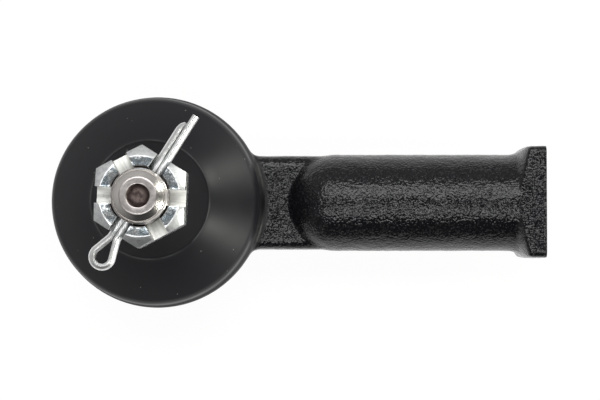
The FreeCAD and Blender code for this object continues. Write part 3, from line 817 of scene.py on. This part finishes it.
def pin_path():
    """The split pin's centre line in its own plane, from the short leg's tip to the long one's."""
    eye_reach, eye_radius, eye_angle, bend_radius = 14.9, 1.45, math.radians(18.0), 3.0
    short_leg, long_leg, stride, gap = 18.05, 20.4, 0.6, 0.09
    # A leg leaves the eye at touch, runs straight to bend, and eases there into its own line.
    touch = Vector((eye_radius * math.sin(eye_angle) - eye_reach,
                    eye_radius * math.cos(eye_angle)))
    neck_x = touch.x + (touch.y - gap) / math.tan(eye_angle)
    ease = bend_radius * math.tan(eye_angle / 2)
    bend = Vector((neck_x - ease * math.cos(eye_angle), gap + ease * math.sin(eye_angle)))
    straight = [Vector((short_leg - stride * step, gap)) for step in range(40)]
    upper = [point for point in straight if point.x > neck_x + ease + 0.3]
    for step in range(9):
        angle = eye_angle * step / 8
        upper.append(Vector((neck_x + ease - bend_radius * math.sin(angle),
                             gap + bend_radius * (1 - math.cos(angle)))))
    upper.append((bend + touch) / 2)
    eye = []
    for step in range(33):
        angle = math.radians(90) - eye_angle + (math.pi + 2 * eye_angle) * step / 32
        eye.append(Vector((-eye_reach + eye_radius * math.cos(angle),
                           eye_radius * math.sin(angle))))
    lower = [Vector((point.x, -point.y)) for point in reversed(upper)]
    lower[-1] = Vector((long_leg, -gap))
    lower.insert(-1, Vector((long_leg - 2 * stride, -gap)))
    return upper + eye + lower


def make_pin(material):
    """The split pin: half-round wire swept along its path, its short leg's tip rounded."""
    path = pin_path()
    wire, sides, tip_length = 1.45, 22, 1.7
    vertices = []
    for index, point in enumerate(path):
        before = path[max(index - 1, 0)]
        after = path[min(index + 1, len(path) - 1)]
        way = (after - before).normalized()
        outward = Vector((way.y, -way.x))
        from_tip = (path[0] - point).length if index < 5 else tip_length
        shrink = 0.38 + 0.62 * math.sqrt(min(1.0, from_tip / tip_length))
        for number in range(sides):
            across, up = half_round(number / sides, wire * shrink)
            place = point + outward * across
            vertices.append((place.x, place.y, PIN_LEVEL + up))
    piece = mesh_object("split_pin", vertices, swept_faces(len(path), sides))
    piece.data.transform(Matrix.Rotation(PIN_ANGLE, 4, "Z"))
    smooth_by_angle(piece, 40)
    return finish_piece(piece, "cotter_pin", material, "zinc_plate", "cotter_pin")


def half_round(share, radius):
    """A point round a half circle whose two corners are rounded: (outward, up)."""
    flat_share = 0.23
    if share < flat_share:
        return 0.0, radius * 0.80 * (1 - 2 * share / flat_share)
    angle = math.pi * (share - flat_share) / (1 - flat_share)
    return radius * (0.10 + 0.87 * math.sin(angle)), -radius * 0.97 * math.cos(angle)


def turned_piece(name, line, body, material, slot, node, closed=True):
    """A turned piece of the trim, smooth except where it bends by 40 degrees or more."""
    piece = lathe(name, line, closed=closed)
    smooth_by_angle(piece, 40)
    return finish_piece(piece, body, material, slot, node)


def make_flat_trim(materials):
    """The closing plate, the boot's flat ring and the disc spring, each with soft edges."""
    plate = rounded([(0, 0), (14.6, 0, 1.0), (15.8, 1.5, 0.5), (18.95, 1.5, 0.15),
                     (18.95, 3.1, 0.3), (15.17, 3.1, 0.5), (13.97, 1.9, 0.8), (0, 1.9)])
    turned_piece("pressed_plate", plate, "housing", materials["plate"], "plate_steel",
                 "closing_plate", closed=False)
    top = high("boot_insert_ring").z
    ring = rounded([(9.25, top - 0.85, 0.2), (12.35, top - 0.85, 0.2), (12.35, top, 0.2),
                    (9.25, top, 0.2)])
    turned_piece("flat_boot_ring", ring, "boot_collar", materials["plate"], "plate_steel",
                 "boot_insert_ring")
    bottom = low("preload_spring").z
    disc = rounded([(13.4, bottom, 0.15), (13.5, bottom + 0.85, 0.25),
                    (8.1, bottom + 1.9, 0.25), (8.0, bottom + 1.05, 0.15)])
    turned_piece("disc_spring", disc, "housing", materials["spring"], "spring_steel",
                 "preload_spring")


def make_seats(material):
    """The bearing shell above the ball's equator, and the cup under it."""
    inside, outside = SEAT_INSIDE, SEAT_OUTSIDE
    equator = other_side(inside, SEAT_GAP)
    edge, lip_height = (equator, BALL_HEIGHT + SEAT_GAP), 7.25
    lip = (other_side(inside, lip_height), BALL_HEIGHT + lip_height)
    shell = rounded([edge, (outside, edge[1], 0.4), (outside, lip[1], 0.6), lip])
    turned_piece("upper_seat_shell", shell + arc(lip, edge, -inside, 14), "housing", material,
                 "seat_polymer", "upper_ball_seat")
    edge = (equator, BALL_HEIGHT - SEAT_GAP)
    hole = (other_side(inside, BALL_FLAT), BALL_HEIGHT - BALL_FLAT)
    floor = BALL_HEIGHT - 12.6
    cup = rounded([edge, (outside, edge[1], 0.4), (outside, floor + 1, 0.3),
                   (outside - 1, floor, 0.3), (hole[0], floor, 0.3), hole])
    turned_piece("lower_seat_cup", cup + arc(hole, edge, inside, 18), "ball_seat", material,
                 "seat_polymer", "lower_ball_seat")


def make_clamp_ring(material):
    """The open wire ring round the boot's lower lip, with rounded ends."""
    radius, level, wire = 20.225, BALL_HEIGHT + 9.7, 0.6
    opening = math.radians(10)
    steps, sides = 180, 16
    vertices = []
    for step in range(steps + 1):
        angle = opening / 2 + (2 * math.pi - opening) * step / steps
        from_end = min(step, steps - step)
        thin = wire * math.sin(math.radians(min(90, 35 + 28 * from_end)))
        for number in range(sides):
            turn = 2 * math.pi * number / sides
            reach = radius + thin * math.cos(turn)
            vertices.append((reach * math.cos(angle), reach * math.sin(angle),
                             level + thin * math.sin(turn)))
    piece = mesh_object("clamp_wire", vertices, swept_faces(steps + 1, sides))
    smooth_by_angle(piece, 60)
    return finish_piece(piece, "housing", material, "spring_steel", "boot_clamp_ring")


# ----------------------------------------------------------------------- studio

def aim(thing, place, target, up=(0, 1, 0)):
    """Put a camera or light at a place, looking at a target, with the given way up."""
    back = (Vector(place) - Vector(target)).normalized()
    right = Vector(up).cross(back).normalized()
    true_up = back.cross(right)
    turn = Matrix((right, true_up, back)).transposed().to_4x4()
    thing.matrix_world = Matrix.Translation(place) @ turn


def make_camera():
    """The camera hangs over the part's middle and looks almost straight down."""
    camera = bpy.data.objects.new("camera", bpy.data.cameras.new("camera"))
    bpy.context.scene.collection.objects.link(camera)
    camera.data.lens = 94.6
    camera.data.clip_start = 0.01
    place = part_middle + Vector((-0.0006, -0.0107, 0.3571))
    target = part_middle + Vector((0.0006, 0.0004, -0.0089))
    aim(camera, place, target)
    bpy.context.scene.camera = camera


def soft_box(name, place, target, width, depth, power, shade=1.0):
    """A rectangular soft light. Its shade is its share of blue, so below 1 it is warm."""
    light = bpy.data.lights.new(name, "AREA")
    light.shape = "RECTANGLE"
    light.size = width
    light.size_y = depth
    light.energy = power
    light.color = (1.0, 1.0, shade)
    lamp = bpy.data.objects.new(name, light)
    bpy.context.scene.collection.objects.link(lamp)
    aim(lamp, place, target, up=(0, 1, 0.01))


def light_table():
    """A glowing opal sheet: pale, with only a trace of shadow on it, and dimmer far away."""
    opal = Finish("opal_sheet", (0.08, 0.08, 0.08), 0.8, specular=0.1)
    cloud = opal.noise(40.0, 2)
    opal.colour(opal.blend(cloud, (0.075, 0.075, 0.075), (0.085, 0.085, 0.085)))
    opal.set(opal.shader, "Emission Color", (1, 1, 1, 1))
    away = opal.node("ShaderNodeVectorMath", operation="DISTANCE", Vector=opal.place)
    away.inputs[1].default_value = part_middle / MM
    glow = opal.node("ShaderNodeMapRange", interpolation_type="SMOOTHSTEP",
                     Value=away.outputs["Value"], From_Min=100.0, From_Max=300.0,
                     To_Min=0.93, To_Max=0.32)
    opal.set(opal.shader, "Emission Strength", glow.outputs[0])
    return opal.material


def make_room():
    """A dim room: lightest high on its far left walls, dark on its near right and its ceiling."""
    world = bpy.data.worlds.new("room")
    bpy.context.scene.world = world
    world.use_nodes = True
    nodes, links = world.node_tree.nodes, world.node_tree.links
    way = nodes.new("ShaderNodeTexCoord").outputs["Generated"]
    facing = nodes.new("ShaderNodeVectorMath")
    facing.operation = "DOT_PRODUCT"
    facing.inputs[1].default_value = (-0.64, 0.77, 0)
    links.new(way, facing.inputs[0])
    parts = nodes.new("ShaderNodeSeparateXYZ")
    links.new(way, parts.inputs[0])
    shares = []
    for value, start, end, first, last in ((facing.outputs["Value"], -0.6, 0.7, 0.03, 0.62),
                                           (parts.outputs[2], 0.05, 0.30, 0.40, 1.0),
                                           (parts.outputs[2], 0.45, 0.7, 1.0, 0.2)):
        share = nodes.new("ShaderNodeMapRange")
        links.new(value, share.inputs["Value"])
        for number, size in enumerate((start, end, first, last), start=1):
            share.inputs[number].default_value = size
        shares.append(share.outputs[0])
    light = shares[0]
    for share in shares[1:]:
        product = nodes.new("ShaderNodeMath")
        product.operation = "MULTIPLY"
        links.new(light, product.inputs[0])
        links.new(share, product.inputs[1])
        light = product.outputs[0]
    background = nodes["Background"]
    background.inputs[0].default_value = (1, 1, 1, 1)
    links.new(light, background.inputs[1])


def make_studio():
    """A pale floor, two long soft boxes overhead, two low ones to the right, a dim room."""
    bpy.ops.mesh.primitive_plane_add(size=6)
    floor = bpy.context.object
    floor.name = "floor"
    floor.location.z = cad_box[0].z
    floor.data.materials.append(light_table())
    lit = (0.03, 0, 0.02)
    soft_box("over_left", (0.03, 0.45, 0.95), lit, 1.0, 0.42, 7.0)
    soft_box("over_right", (0.03, -0.37, 0.95), lit, 1.0, 0.23, 4.4)
    soft_box("low_back", (0.95, 0.45, 0.24), lit, 0.30, 0.26, 6.0, 0.93)
    soft_box("low_front", (0.95, -0.42, 0.24), lit, 0.30, 0.26, 6.0, 0.93)
    make_room()
    bpy.context.scene.view_settings.view_transform = "Standard"


paint = black_paint()
trim = {"plate": plate_steel(), "spring": spring_steel(), "polymer": seat_polymer()}
make_forging(paint)
make_rod_thread(paint)
make_boot(boot_rubber())
make_stud(stud_steel())
make_nut(nut_zinc())
make_pin(pin_zinc())
make_flat_trim(trim)
make_seats(trim["polymer"])
make_clamp_ring(trim["spring"])
make_camera()
make_studio()
